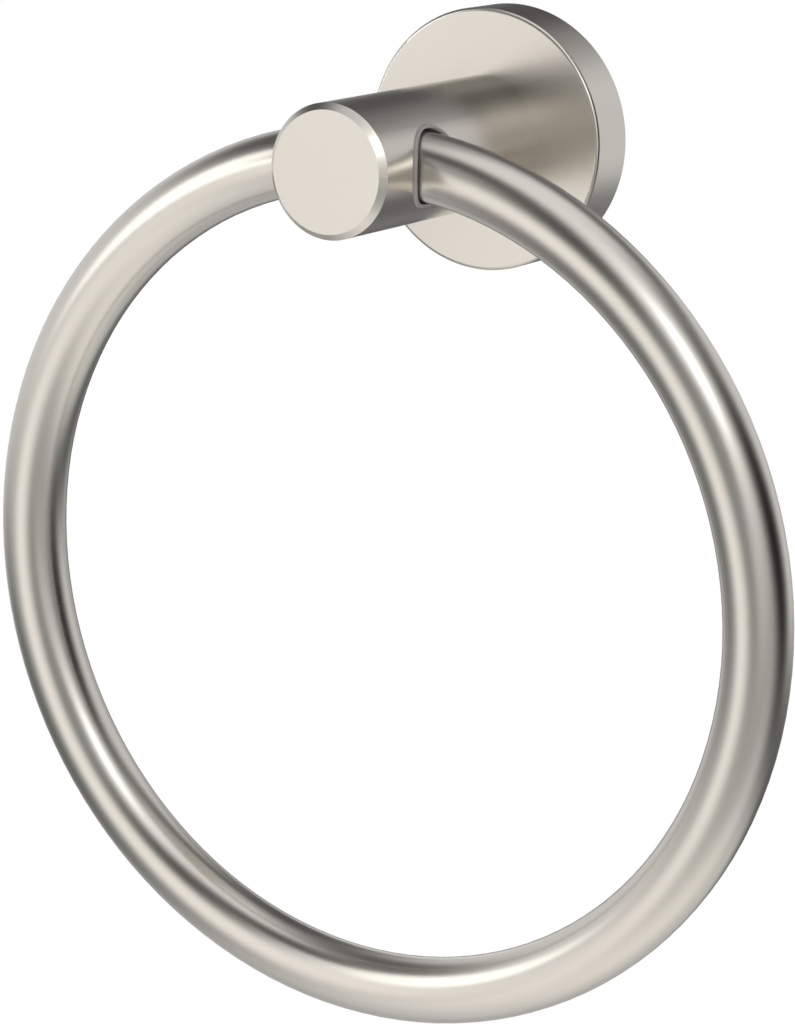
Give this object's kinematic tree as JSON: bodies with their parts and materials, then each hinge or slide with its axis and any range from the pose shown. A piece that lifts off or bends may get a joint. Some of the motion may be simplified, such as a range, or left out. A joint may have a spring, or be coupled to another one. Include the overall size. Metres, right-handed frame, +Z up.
{
  "type": "towel holder",
  "caption": "Wall-mounted towel ring: a ring of round tube passes through a straight round post that stands on a round rose.",
  "frame": {"origin": "centre of the rose on the wall plane", "axes": "+Y into the wall, so the ring stands out towards -Y; +Z up; +X to the right of someone facing the wall"},
  "size_m": [0.1914, 0.074, 0.2118],
  "materials": {
    "satin_nickel": "satin warm nickel",
    "bush_grey": "moulded satin grey",
    "bracket_steel": "turned, dull zinc plate",
    "fastener_steel": "plain steel",
    "pad_nylon": "natural nylon",
    "dowel_brass": "bare brass"
  },
  "bodies": {
    "root": {"rose": "satin_nickel", "post": "satin_nickel", "towel_ring": "satin_nickel", "ring_bush_left": "bush_grey", "ring_bush_right": "bush_grey", "wall_bracket": "bracket_steel", "post_bolt": "fastener_steel", "washer": "fastener_steel", "locating_pin": "fastener_steel", "rose_grub_screw": "fastener_steel", "ring_lock_screw": "fastener_steel", "lock_pad": "pad_nylon", "ring_joint_dowel": "dowel_brass"}
  },
  "joints": []
}
